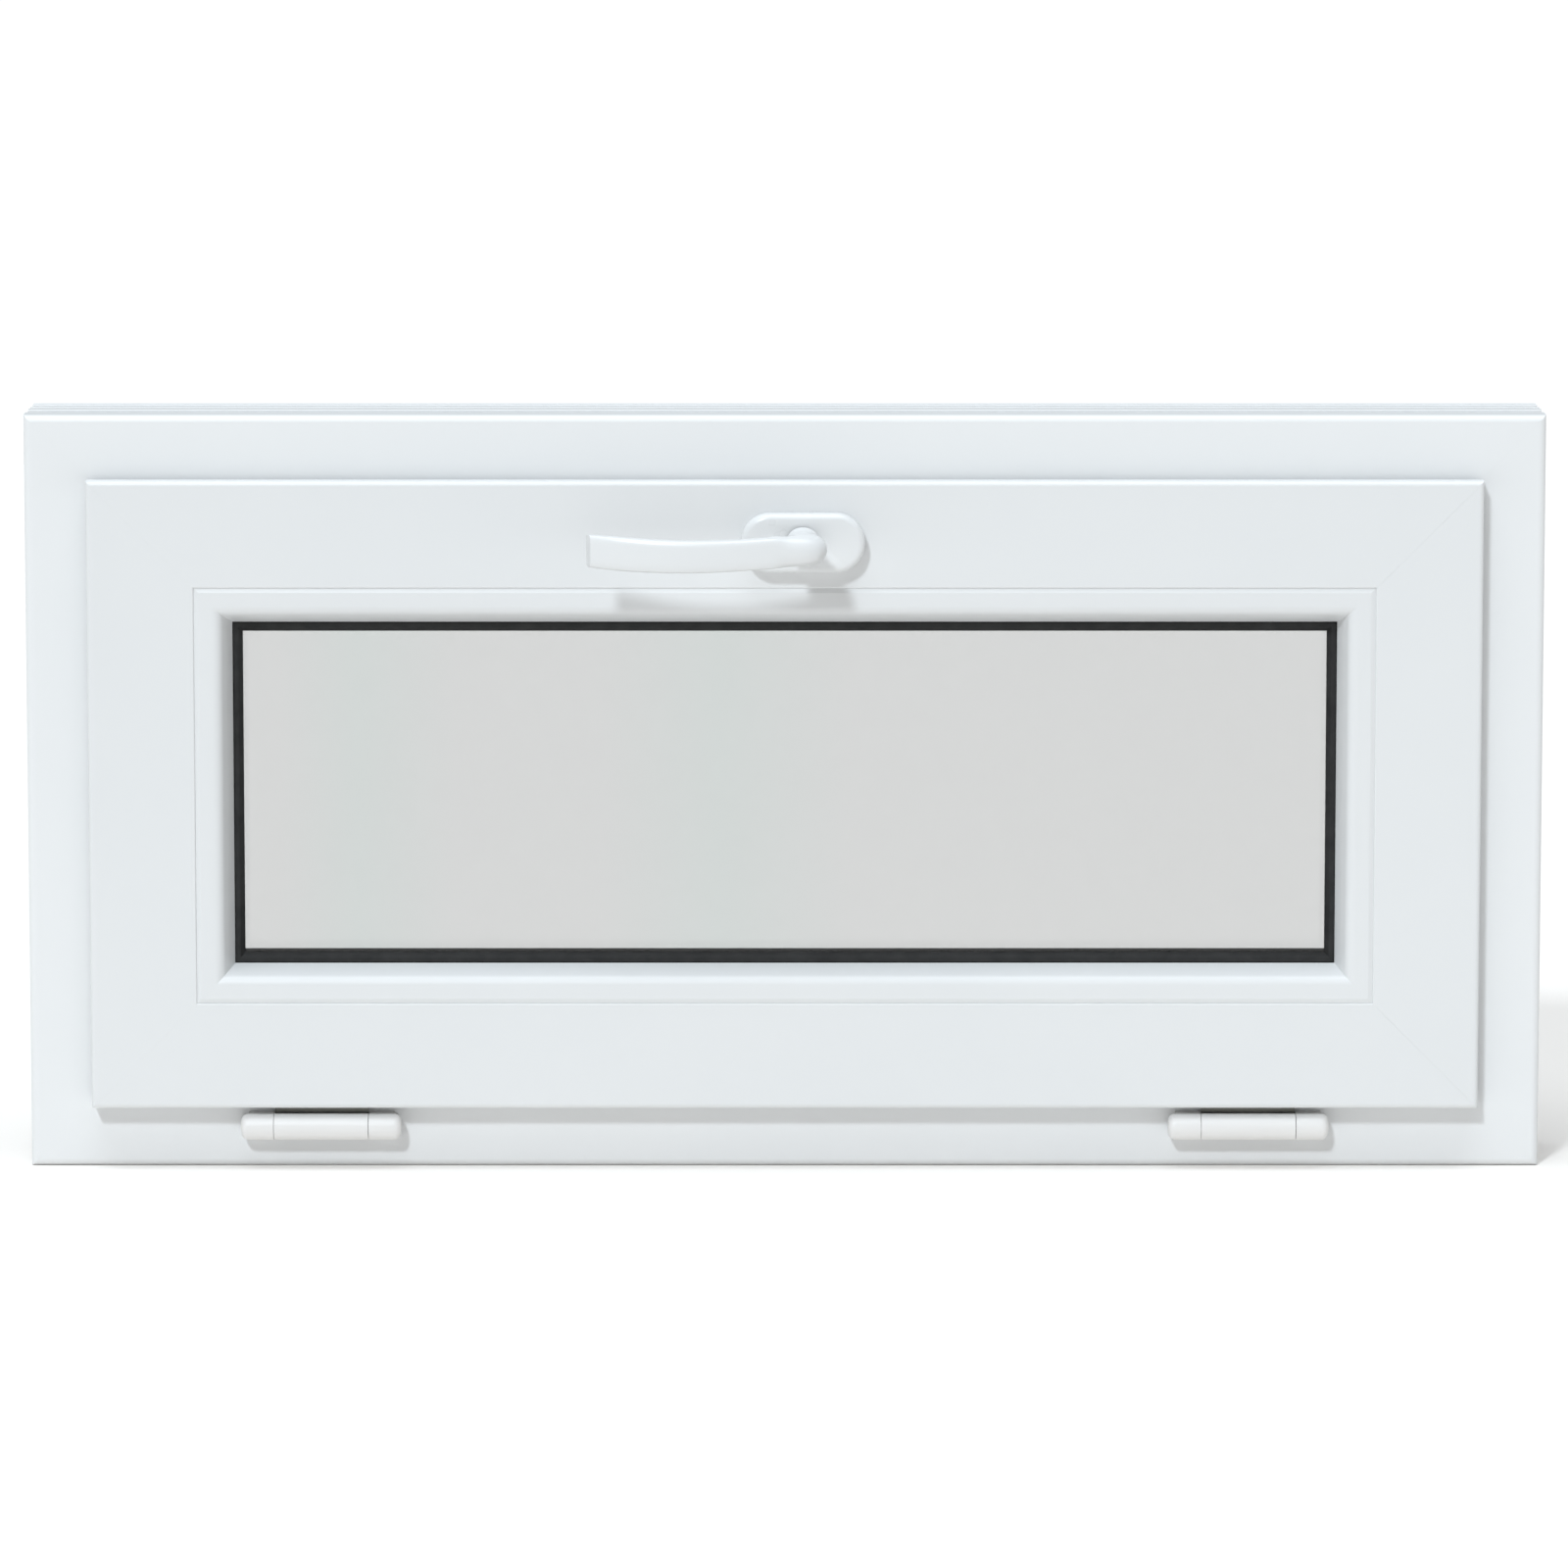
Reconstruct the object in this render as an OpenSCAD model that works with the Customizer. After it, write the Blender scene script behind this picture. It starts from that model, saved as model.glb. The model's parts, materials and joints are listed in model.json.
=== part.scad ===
// Bottom-hung tilt window in white PVC: a mitred frame, a glazed sash that tilts into the room on two
// barrel hinges, a handle with a rack-and-pinion lock in the top rail, and a stay arm at each side.
// X runs along the width, Y from the room to the outside, Z up. The origin is the middle of the sill's
// underside. All sections are drawn as [depth along Y, height above the frame's outer edge].

/* [Overall] */
// Outer width of the frame
window_w = 800; // [560:10:1200]
// Outer height of the frame
window_h = 400; // [340:10:700]
// Depth of the frame
frame_depth = 70; // [70:1:90]

/* [Frame profile] */
// Height of the room-side leg, from the outer edge to the rebate floor
leg_h = 40; // [36:0.5:50]
// How far the outside flange, which the sash closes against, stands above the leg
flange_h = 26; // [24:0.5:40]
// Thickness of the outside flange
flange_t = 12; // [12:0.5:16]
// Depth of the grooves around the frame's outer side
outer_groove = 4; // [2:0.5:6]
// Wall thickness of all the hollow profiles
wall = 2.8; // [2:0.1:3.2]
// Rounding of the frame's long outer edges
frame_edge_r = 4; // [1:0.5:6]

/* [Sash profile] */
// Width of frame that stays visible beside the sash
visible_frame = 33.5; // [28:0.5:36]
// How far the sash's face stands in front of the frame's
sash_proud = 15; // [14:0.5:20]
// Thickness of the lip that laps over the frame
lap_t = 12; // [11:0.5:14]
// Clear gap between rebate floor and sash for the fittings
fitting_gap = 11.5; // [11:0.5:14]
// Width of the sash face, from its edge to the bead joint
sash_face = 56.2; // [54:0.1:70]
// Height of the glazing flange above the glazing rebate
glazing_flange = 20.3; // [18:0.1:24]
// Step back of the sash's outside part, so that it clears the keeps as it tilts
sash_step = 6; // [5:0.5:8]

/* [Glazing] */
// Thickness of each pane
pane_t = 4; // [3:1:6]
// Gap between the panes
cavity = 16; // [12:1:16]
// Distance from the sash's face back to the glass
glass_setback = 19; // [17:0.5:22]
// Gap between glass edge and glazing rebate
glass_gap = 5; // [4:0.5:6]
// How far the bead reaches over the glass, from its joint with the sash
bead_h = 19.6; // [18:0.1:24]
// How far the black glazing gasket shows inside the bead
gasket_show = 5; // [3:0.5:7]

/* [Hinges] */
// Distance from the frame's side to the middle of each hinge
hinge_inset = 154.5; // [110:0.5:250]
// Length of a whole hinge
hinge_l = 85; // [75:1:100]
// Length of the turning middle knuckle
hinge_mid_l = 50; // [40:1:60]
// Outer radius of the hinge covers
hinge_r = 7; // [6.5:0.1:7.2]
// Radius of the hinge pin
pin_r = 3; // [2.5:0.1:3.5]
// Height of the hinge pin above the frame's underside
hinge_z = 22.5; // [20:0.5:24]
// Distance of the hinge pin in front of the frame's face
hinge_out = 7.5; // [7.3:0.1:9]
// How far the sash tilts, in degrees
tilt_max = 30; // [15:1:40]

/* [Handle] */
// Distance of the handle's axis to the right of the middle
handle_x = 9.5; // [-40:0.5:40]
// Distance of the handle's axis below the sash's fitting edge
backset = 13.5; // [13.5:0.5:15]
// Length of the handle's rosette
rosette_l = 65; // [62:1:75]
// Height of the handle's rosette
rosette_h = 31; // [29:1:36]
// Thickness of the handle's rosette
rosette_t = 11; // [10:0.5:14]
// Distance between the two handle screws
handle_screws = 43; // [43:1:45]
// Reach of the lever, from its axis to its tip
lever_l = 111.5; // [90:0.5:140]
// Distance from the sash's face to the lever's middle line at the elbow
lever_out = 50; // [42:1:60]

/* [Lock] */
// Number of teeth on the pinion, at module 1
pinion_teeth = 16; // [15:1:16]
// Distance of each locking cam from the frame's side
cam_inset = 200; // [150:5:240]
// Radius of a locking cam
cam_r = 4.5; // [4:0.1:5]
// Height of a locking cam above the faceplate
cam_h = 6.8; // [6:0.1:7]

/* [Stays] */
// Distance from the sash's top edge down to the stay pin when the window is shut
stay_drop = 77.5; // [70:0.5:120]
// Distance of the stay's frame pivot behind the hinge pin
stay_back = 14; // [12:0.5:15]
// Width of the stay arm
arm_w = 12; // [10:0.5:14]

/* [Fixing] */
// Distance of the fixing screws from the frame's top and bottom
fixing_inset = 100; // [80:5:150]
// Radius of a fixing hole
fixing_r = 3.1; // [2.5:0.1:3.4]

/* [Hidden] */

$fn = 48;
sides = ["bottom", "top", "left", "right"];
running = 0.05;
gap = 0.3;
seal_t = 3;
seal_clear = 0.1;

// Depths, along Y
frame_front = -frame_depth / 2;
frame_back = frame_depth / 2;
flange_y = frame_back - flange_t;
sash_front = frame_front - sash_proud;
lap_y = sash_front + lap_t;
sash_back = flange_y - seal_t;
glass_front = sash_front + glass_setback;
glass_back = glass_front + 2 * pane_t + cavity;
glazing_y = glass_back + seal_t;
groove_y = lap_y + 13;
groove_w = 16.4;
rod_groove_w = 12;
step_y = groove_y + groove_w / 2 + 4.8;
hinge_y = frame_front - hinge_out;

// Heights above the frame's outer edge
flange_top = leg_h + flange_h;
sash_edge = leg_h + fitting_gap;
bead_seat = visible_frame + sash_face;
sash_tip = bead_seat + glazing_flange;
glass_edge = bead_seat + glass_gap;
bead_tip = bead_seat + bead_h;
groove_d = 3;
rod_groove_d = 9;
chamber_u0 = sash_edge + rod_groove_d + wall;
chamber_u1 = bead_seat - 5 - 3;
floor_groove = 2.5;

// Handle and lock
handle_z = window_h - sash_edge - backset;
faceplate_t = 2.5;
faceplate_z = window_h - sash_edge - faceplate_t;
module_size = 1;
pitch_r = pinion_teeth * module_size / 2;
rod_w = 10;
rod_t = 2.2;
rod_top = faceplate_z - gap;
stroke = pitch_r * PI / 2;
case_w = 64;
case_t = 12;
case_bottom = handle_z - pitch_r - 4;
slab_t = 3;
rack_w = 6;
cam_x = window_w / 2 - cam_inset;
keep_base = 3;
keep_z = window_h - leg_h - keep_base;
screw_r = 2;
screw_head_r = 3.8;

// Stays: the pivot stands halfway between hinge pin and stay pin, so the arm turns twice as far as the sash
stay_z = window_h - sash_edge - stay_drop;
stay_lean = atan(2 * stay_back / (stay_z - hinge_z));
stay_arm = (stay_z - hinge_z) / cos(stay_lean) / 2;
stay_travel = 2 * stay_arm * (1 - cos(tilt_max));
stay_pivot_y = hinge_y + stay_back;
stay_pivot_z = (stay_z + hinge_z) / 2;
stay_pin_y = hinge_y + 2 * stay_back;
stay_pin_r = 3;
plate_t = 2.5;
guide_t = 3;
frame_side = window_w / 2 - leg_h;
sash_side = window_w / 2 - sash_edge;

// ---- Shared shapes ----

function unit(v) = v / norm(v);

// The points of one corner of an outline, rounded to radius p[2]
function corner(a, p, b, steps) =
    p[2] <= 0 ? [[p[0], p[1]]] :
    let (o = [p[0], p[1]],
         u = unit([a[0], a[1]] - o),
         v = unit([b[0], b[1]] - o),
         half = acos(u * v) / 2,
         c = o + unit(u + v) * p[2] / sin(half),
         s = o + u * p[2] / tan(half) - c,
         e = o + v * p[2] / tan(half) - c,
         from = atan2(s[1], s[0]),
         sweep = (atan2(e[1], e[0]) - from + 540) % 360 - 180)
    [for (i = [0 : steps]) c + p[2] * [cos(from + sweep * i / steps), sin(from + sweep * i / steps)]];

// An outline of [y, u, radius] points with its corners rounded
function rounded(points, steps = 5) =
    let (n = len(points))
    [for (i = [0 : n - 1]) each corner(points[(i + n - 1) % n], points[i], points[(i + 1) % n], steps)];

// A rectangle from one corner to the other
module area(y0, u0, y1, u1) {
    translate([y0, u0]) square([y1 - y0, u1 - u0]);
}

// A box from one corner to the other
module block(x0, y0, z0, x1, y1, z1) {
    translate([x0, y0, z0]) cube([x1 - x0, y1 - y0, z1 - z0]);
}

module rod_x(r, x0, x1) {
    translate([x0, 0, 0]) rotate([0, 90, 0]) cylinder(r = r, h = x1 - x0);
}

module rod_y(r, y0, y1) {
    translate([0, y1, 0]) rotate([90, 0, 0]) cylinder(r = r, h = y1 - y0);
}

// A flat shape with round ends, drawn in X and Z and standing from y0 to y1
module stadium(length, height, y0, y1) {
    translate([0, y1, 0]) rotate([90, 0, 0]) linear_extrude(y1 - y0) {
        square([length - height, height], center = true);
        for (s = [-1, 1]) translate([s * (length - height) / 2, 0]) circle(r = height / 2);
    }
}

// Puts a bar that is drawn for the bottom of the window on any of its four sides
module on_side(side) {
    if (side == "bottom") children();
    if (side == "top") translate([0, 0, window_h]) rotate([0, 180, 0]) children();
    if (side == "left") translate([-window_w / 2, 0, window_h / 2]) rotate([0, 90, 0]) children();
    if (side == "right") translate([window_w / 2, 0, window_h / 2]) rotate([0, -90, 0]) children();
}

function side_l(side) = side == "bottom" || side == "top" ? window_w : window_h;

// A section run along one side of the window, with its ends cut to 45 degrees
module mitred_bar(side) {
    l = side_l(side);
    reach = sash_tip + 10;
    on_side(side) intersection() {
        translate([-l / 2, 0, 0]) rotate([90, 0, 90]) linear_extrude(l) children();
        rotate([90, 0, 0]) linear_extrude(4 * frame_depth, center = true)
            polygon([[-l / 2, 0], [l / 2, 0], [l / 2 - reach, reach], [reach - l / 2, reach]]);
    }
}

// A section run along one side, cut square and short of the corners by set_in
module straight_bar(side, set_in) {
    l = side_l(side) - 2 * set_in;
    on_side(side) translate([-l / 2, 0, 0]) rotate([90, 0, 90]) linear_extrude(l) children();
}

module both_hinges() {
    for (s = [-1, 1]) translate([s * (window_w / 2 - hinge_inset), hinge_y, hinge_z]) children();
}

module at_hinge(s) {
    translate([s * (window_w / 2 - hinge_inset), hinge_y, hinge_z]) children();
}

// Draws the left side's piece, or its mirror image on the right
module handed(s) {
    if (s < 0) children();
    else mirror([1, 0, 0]) children();
}

module at_handle() {
    translate([handle_x, 0, handle_z]) children();
}

module countersunk_screw(length) {
    cylinder(r = screw_r, h = length);
    translate([0, 0, length - screw_head_r + screw_r])
        cylinder(r1 = screw_r, r2 = screw_head_r, h = screw_head_r - screw_r);
}

// ---- Frame ----

rib_edges = [-17, -4, 4, 11, 14, 24, 27, 32];

module frame_section() {
    difference() {
        polygon(rounded([
            [frame_front, 0, frame_edge_r],
            for (i = [0 : len(rib_edges) - 1])
                each i % 2 == 0
                    ? [[rib_edges[i], 0, 0.5], [rib_edges[i], outer_groove, 0]]
                    : [[rib_edges[i], outer_groove, 0], [rib_edges[i], 0, 0.5]],
            [frame_back, 0, 0.8],
            [frame_back, flange_top, frame_edge_r],
            [flange_y, flange_top, 1.2],
            [flange_y, flange_top - 3.5, 0],
            [flange_y + 2.5, flange_top - 3.5, 0],
            [flange_y + 2.5, flange_top - 6, 0],
            [flange_y, flange_top - 6, 0],
            [flange_y, leg_h, 1.5],
            [8, leg_h, 0.4],
            [8, leg_h - floor_groove, 0],
            [-8, leg_h - floor_groove, 0],
            [-8, leg_h, 0.4],
            [frame_front, leg_h, 2]]));
        frame_chambers();
    }
}

module frame_chambers() {
    area(frame_front + wall, wall, -17 - wall, leg_h - wall);
    area(-17, outer_groove + wall, 11, leg_h - floor_groove - wall);
    area(11 + wall, outer_groove + wall, frame_back - wall, leg_h - wall);
    area(flange_y + 2.5 + wall, leg_h, frame_back - wall, flange_top - wall - 1.2);
}

module frame_bar(side) {
    color("white") mitred_bar(side) frame_section();
}

module fixing_holes() {
    for (s = [-1, 1], z = [fixing_inset, window_h - fixing_inset])
        translate([0, 0, z]) {
            if (s < 0) rod_x(fixing_r, -window_w / 2 - 1, -frame_side + 1);
            else rod_x(fixing_r, frame_side - 1, window_w / 2 + 1);
        }
}

drain_x = [-1, 1] * (window_w / 2 - 180);
drain_l = 28;
drain_z = 20;

module drain_slots() {
    for (x = drain_x) block(x - drain_l / 2, frame_back - wall - 1, drain_z - 2.5,
        x + drain_l / 2, frame_back + 1, drain_z + 2.5);
}

module hinge_frame_holes() {
    both_hinges() for (s = [-1, 1]) translate([s * (hinge_mid_l + hinge_l) / 4, 0, 0])
        rod_y(screw_r, 0, 26);
}

module frame_sill() {
    color("white") difference() {
        frame_bar("bottom");
        drain_slots();
        hinge_frame_holes();
    }
}

module frame_head() {
    color("white") difference() {
        frame_bar("top");
        keep_screw_places() cylinder(r = screw_r, h = 40, center = true);
    }
}

module frame_jamb(s) {
    color("white") difference() {
        frame_bar(s < 0 ? "left" : "right");
        fixing_holes();
        handed(s) stay_bracket_screw_places() rod_x(screw_r, -20, 5);
    }
}

module frame_reinforcement() {
    clear = 0.5;
    steel_t = 1.5;
    color("silver") difference() {
        for (side = sides) straight_bar(side, leg_h + 2) difference() {
            area(-17 + clear, outer_groove + wall + clear,
                11 - clear, leg_h - floor_groove - wall - clear);
            area(-17 + clear + steel_t, outer_groove + wall + clear + steel_t,
                11 - clear - steel_t, leg_h - floor_groove - wall - clear - steel_t);
        }
        fixing_holes();
        hinge_frame_holes();
        keep_screw_places() cylinder(r = screw_r, h = 60, center = true);
        for (s = [-1, 1]) handed(s) stay_bracket_screw_places() rod_x(screw_r, -20, 5);
    }
}

module frame_gasket() {
    y = flange_y;
    u = flange_top - 6;
    color("dimgray") for (side = sides) mitred_bar(side) polygon([
        [y + 2.4, u + 0.1], [y + 2.4, u + 2.4], [y, u + 2.4], [y - 0.8, u + 3.4],
        [sash_back + seal_clear, u + 2.2], [sash_back + seal_clear, u - 3.6],
        [y - 1.6, u - 4.2], [y, u - 3], [y, u + 0.1]]);
}

module drain_caps() {
    cap_l = drain_l + 14;
    cap_h = 13;
    color("white") for (x = drain_x) translate([x, 0, drain_z]) difference() {
        union() {
            stadium(cap_l, cap_h, frame_back, frame_back + 1.6);
            stadium(cap_l - 5, cap_h - 5, frame_back + 1.6, frame_back + 3.6);
        }
        block(-drain_l / 2, frame_back - 1, -cap_h, drain_l / 2, frame_back + 2.2, 2);
    }
}

// ---- Keeps, on the frame's head ----

keep_l = 40;

module keep_places() {
    for (x = [-cam_x, cam_x]) translate([x, groove_y, 0]) children();
}

module keep_screw_places() {
    keep_places() for (s = [-1, 1]) translate([s * (keep_l / 2 - 5), 0, window_h - leg_h]) children();
}

module keep(s) {
    lip_t = 3.4;
    lip_y = -cam_r - 0.5 - lip_t;
    color("gainsboro") translate([s * cam_x, groove_y, 0]) difference() {
        union() {
            block(-keep_l / 2, lip_y, keep_z, keep_l / 2, 9, window_h - leg_h);
            block(-4.5, lip_y, window_h - sash_edge + 2.5, 8, lip_y + lip_t, keep_z);
            block(6, lip_y, window_h - sash_edge + 2.5, 8, 9, keep_z);
        }
        for (t = [-1, 1]) translate([t * (keep_l / 2 - 5), 0, keep_z - 1]) {
            cylinder(r = screw_r + 0.1, h = keep_base + 2);
            translate([0, 0, 0.99]) cylinder(r1 = screw_head_r + 0.1, r2 = screw_r + 0.1,
                h = screw_head_r - screw_r);
        }
    }
}

module keep_screws() {
    color("silver") keep_screw_places()
        translate([0, 0, -keep_base]) mirror([0, 0, 1]) translate([0, 0, -20]) countersunk_screw(20);
}

// ---- Hinges: the origin of each part is the middle of the hinge pin ----

core_r = hinge_r - 2;
knuckle_l = (hinge_l - hinge_mid_l) / 2;
seam = 0.4;
cap_end = 2;
leaf_t = 2.5;
leaf_top = sash_edge - hinge_z;
leaf_screw_head = 2.2;

module hinge_frame_knuckles(s) {
    color("silver") at_hinge(s) for (t = [-1, 1]) difference() {
        x0 = t < 0 ? -hinge_l / 2 + cap_end : hinge_mid_l / 2 + seam;
        x1 = t < 0 ? -hinge_mid_l / 2 - seam : hinge_l / 2 - cap_end;
        union() {
            rod_x(core_r, x0, x1);
            block(x0, 0, -core_r, x1, hinge_out, core_r);
        }
        rod_x(pin_r, x0 - 1, x1 + 1);
        translate([t * (hinge_mid_l + hinge_l) / 4, 0, 0]) rod_y(screw_r, 0, hinge_out + 1);
    }
}

module hinge_pin(s) {
    color("silver") at_hinge(s) rod_x(pin_r, -hinge_l / 2 + cap_end, hinge_l / 2 - cap_end);
}

// A cap over one frame knuckle, closed and rounded at its outer end
module hinge_end_caps(s) {
    color("white") at_hinge(s) for (t = [-1, 1]) handed(t) difference() {
        x0 = -hinge_l / 2;
        x1 = -hinge_mid_l / 2 - seam / 2;
        union() {
            intersection() {
                translate([x0, 0, 0]) rotate([0, 90, 0]) rotate_extrude($fn = 60) polygon(rounded([
                    [0, 0, 0], [hinge_r, 0, 4], [hinge_r, x1 - x0, 0], [0, x1 - x0, 0]]));
                block(x0, -hinge_r, -hinge_r, x1, hinge_r, hinge_r);
            }
            block(x0 + 4, 0, -hinge_r, x1, hinge_out, hinge_r);
        }
        rod_x(core_r + 0.05, x0 + cap_end, x1 + 1);
        block(x0 + cap_end, 0, -core_r - 0.05, x1 + 1, hinge_out + 1, core_r + 0.05);
    }
}

module hinge_frame_screws() {
    color("silver") both_hinges() for (s = [-1, 1])
        translate([s * (hinge_mid_l + hinge_l) / 4, 0, 0]) rod_y(screw_r, pin_r + 0.2, 25);
}

// The leaf leaves the middle knuckle, rises behind the sash's lip and turns in under the sash's edge
module hinge_sash_leaf(s) {
    back = hinge_out - 0.25;
    front = back - leaf_t;
    top = leaf_top;
    tail = step_y - hinge_y;
    l = hinge_mid_l - seam;
    color("silver") at_hinge(s) difference() {
        union() {
            rod_x(core_r, -l / 2, l / 2);
            translate([-l / 2, 0, 0]) rotate([90, 0, 90]) linear_extrude(l) polygon([
                [0, -core_r], [core_r * 0.8, -core_r * 0.62], [back - 0.3, -0.5], [back, 1.5],
                [back, top - leaf_t], [tail, top - leaf_t], [tail, top], [front, top],
                [front, 0], [0, 0]]);
        }
        rod_x(pin_r + running, -l, l);
        leaf_screw_spots() translate([0, 0, leaf_top - leaf_t - 1]) cylinder(r = screw_r + 0.1, h = leaf_t + 2);
    }
}

module leaf_screw_spots() {
    for (x = [-1, 0, 1]) translate([x * (hinge_mid_l / 2 - 8), groove_y - hinge_y, 0]) children();
}

// A sleeve that snaps over the middle knuckle from the front
module hinge_sleeve(s) {
    l = hinge_mid_l - seam;
    color("white") at_hinge(s) difference() {
        rod_x(hinge_r, -l / 2, l / 2);
        rod_x(core_r + 0.05, -l, l);
        translate([-l, 0, 0]) rotate([90, 0, 90]) linear_extrude(2 * l) polygon([
            [0, -core_r - 0.05], [core_r * 0.8, -core_r * 0.68], [hinge_r + 1, -core_r * 0.5],
            [hinge_r + 1, hinge_r + 1], [hinge_out - 0.25 - leaf_t - 0.1, hinge_r + 1],
            [hinge_out - 0.25 - leaf_t - 0.1, 0], [0, 0]]);
    }
}

module hinge_leaf_screws() {
    color("silver") both_hinges() leaf_screw_spots()
        translate([0, 0, leaf_top - leaf_t - leaf_screw_head]) {
            cylinder(r = screw_r, h = 18);
            cylinder(r = screw_head_r, h = leaf_screw_head);
        }
}

// ---- Stays ----

module stay_bracket_screw_places() {
    for (t = [-1, 1])
        translate([-frame_side, stay_pivot_y + 1, stay_pivot_z + t * 17]) children();
}

module stay_bracket(s) {
    x = -frame_side;
    color("silver") handed(s) difference() {
        union() {
            block(x, stay_pivot_y - arm_w / 2 + 0.3, stay_pivot_z - 24,
                x + plate_t, stay_pivot_y + arm_w / 2, stay_pivot_z + 24);
            translate([0, stay_pivot_y, stay_pivot_z]) {
                rod_x(stay_pin_r, x, x + 2 * plate_t + 2);
                rod_x(stay_pin_r + 2, x + 2 * plate_t + 0.6, x + 2 * plate_t + 2);
            }
        }
        stay_bracket_screw_places() rod_x(screw_r + 0.1, -1, plate_t + 1);
    }
}

module stay_bracket_screws() {
    color("silver") for (s = [-1, 1]) handed(s) stay_bracket_screw_places() {
        rod_x(screw_r, -16, plate_t);
        rod_x(screw_r + 0.9, plate_t, plate_t + 0.25);
    }
}

// The arm turns on the bracket's rivet and carries the pin that slides in the guide
module stay_arm_part(s) {
    x = -frame_side + plate_t + gap;
    pin_end = -sash_side - 0.5;
    color("silver") handed(s) difference() {
        union() {
            translate([x, stay_pivot_y, stay_pivot_z]) rotate([-stay_lean, 0, 0]) {
                block(0, -arm_w / 2, 0, plate_t, arm_w / 2, stay_arm);
                rod_x(arm_w / 2, 0, plate_t);
                translate([0, 0, stay_arm]) rod_x(arm_w / 2, 0, plate_t);
            }
            translate([0, stay_pin_y, stay_z]) rod_x(stay_pin_r, x + plate_t / 2, pin_end);
        }
        translate([0, stay_pivot_y, stay_pivot_z]) rod_x(stay_pin_r + running, x - 1, x + plate_t + 1);
    }
}

// Where the guide's two screws stand, in the sash's fitting groove
function guide_screw_z() = [stay_z - stay_travel - 24, stay_z + 24];

module stay_guide(s) {
    x = -sash_side - guide_t;
    foot_y = groove_w / 2 - 0.2;
    color("silver") handed(s) difference() {
        union() {
            block(x, groove_y - foot_y, stay_z - stay_travel - 34,
                -sash_side, stay_pin_y + 9, stay_z + 34);
            for (z = guide_screw_z())
                block(-sash_side, groove_y - foot_y, z - 8, -sash_side + groove_d, groove_y + foot_y, z + 8);
        }
        translate([0, stay_pin_y, stay_z]) rotate([-stay_lean, 0, 0]) {
            rod_x(stay_pin_r + 0.15, x - 1, -sash_side + 1);
            translate([0, 0, -stay_travel - 0.3]) {
                rod_x(stay_pin_r + 0.15, x - 1, -sash_side + 1);
                block(x - 1, -stay_pin_r - 0.15, 0,
                    -sash_side + 1, stay_pin_r + 0.15, stay_travel + 0.3);
            }
        }
        for (z = guide_screw_z()) translate([0, groove_y, z])
            rod_x(screw_r + 0.1, x - 1, -sash_side + groove_d + 1);
    }
}

module stay_guide_screws() {
    color("silver") for (s = [-1, 1]) handed(s) for (z = guide_screw_z()) translate([0, groove_y, z]) {
        rod_x(screw_r, -sash_side - guide_t, -sash_side + 16);
        rod_x(screw_head_r, -sash_side - guide_t - 1.6, -sash_side - guide_t);
    }
}

// ---- Sash ----

module sash_section() {
    difference() {
        polygon(rounded([
            [sash_front, visible_frame, 2.5],
            [lap_y, visible_frame, 1],
            [lap_y, visible_frame + 3.5, 0],
            [lap_y - 2.5, visible_frame + 3.5, 0],
            [lap_y - 2.5, visible_frame + 6, 0],
            [lap_y, visible_frame + 6, 0],
            [lap_y, sash_edge, 1],
            [groove_y - groove_w / 2, sash_edge, 0.4],
            [groove_y - groove_w / 2, sash_edge + groove_d, 0],
            [groove_y - rod_groove_w / 2, sash_edge + groove_d, 0],
            [groove_y - rod_groove_w / 2, sash_edge + rod_groove_d, 0],
            [groove_y + rod_groove_w / 2, sash_edge + rod_groove_d, 0],
            [groove_y + rod_groove_w / 2, sash_edge + groove_d, 0],
            [groove_y + groove_w / 2, sash_edge + groove_d, 0],
            [groove_y + groove_w / 2, sash_edge, 0.4],
            [step_y, sash_edge, 0.8],
            [step_y, sash_edge + sash_step, 0.8],
            [sash_back, sash_edge + sash_step, 2],
            [sash_back, sash_tip - 3, 3],
            [glazing_y, sash_tip, 1.5],
            [glazing_y, bead_seat, 0],
            [bead_foot_y + bead_foot_t + 0.2, bead_seat, 0],
            [bead_foot_y + bead_foot_t + 0.2, bead_seat - 5, 0],
            [bead_foot_y - 0.2, bead_seat - 5, 0],
            [bead_foot_y - 0.2, bead_seat, 0],
            [sash_front, bead_seat, 0.8]]));
        sash_chambers();
    }
}

bead_foot_t = 3;
bead_foot_y = lap_y - 0.4;
front_chamber = lap_y - 2.5 - wall;

module sash_chambers() {
    area(sash_front + wall, visible_frame + wall, front_chamber, bead_seat - wall);
    area(front_chamber + wall, chamber_u0, sash_back - wall - 19.2, chamber_u1);
    area(sash_back - wall - 16.4, sash_edge + sash_step + wall, sash_back - wall, bead_seat - wall);
    area(glazing_y + wall, bead_seat, sash_back - wall, sash_tip - 3 - wall);
}

module sash_bar(side) {
    color("white") mitred_bar(side) sash_section();
}

module handle_holes(length) {
    at_handle() {
        rod_y(6.5, sash_front - 1, sash_front + length);
        for (s = [-1, 1]) translate([s * handle_screws / 2, 0, 0])
            rod_y(5.1, sash_front - 1, sash_front + length);
    }
}

module gearbox_pocket() {
    block(handle_x - case_w / 2 - 0.5, groove_y - case_t / 2 - 0.5, case_bottom - 0.5,
        handle_x + case_w / 2 + 0.5, groove_y + case_t / 2 + 0.5, faceplate_z + 0.1);
}

module sash_bottom_rail() {
    color("white") difference() {
        sash_bar("bottom");
        both_hinges() leaf_screw_spots() cylinder(r = screw_r, h = 60);
    }
}

module sash_top_rail() {
    color("white") difference() {
        sash_bar("top");
        handle_holes(groove_y - sash_front - case_t / 2);
        gearbox_pocket();
        faceplate_screw_places() mirror([0, 0, 1]) cylinder(r = screw_r, h = 20);
    }
}

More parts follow.
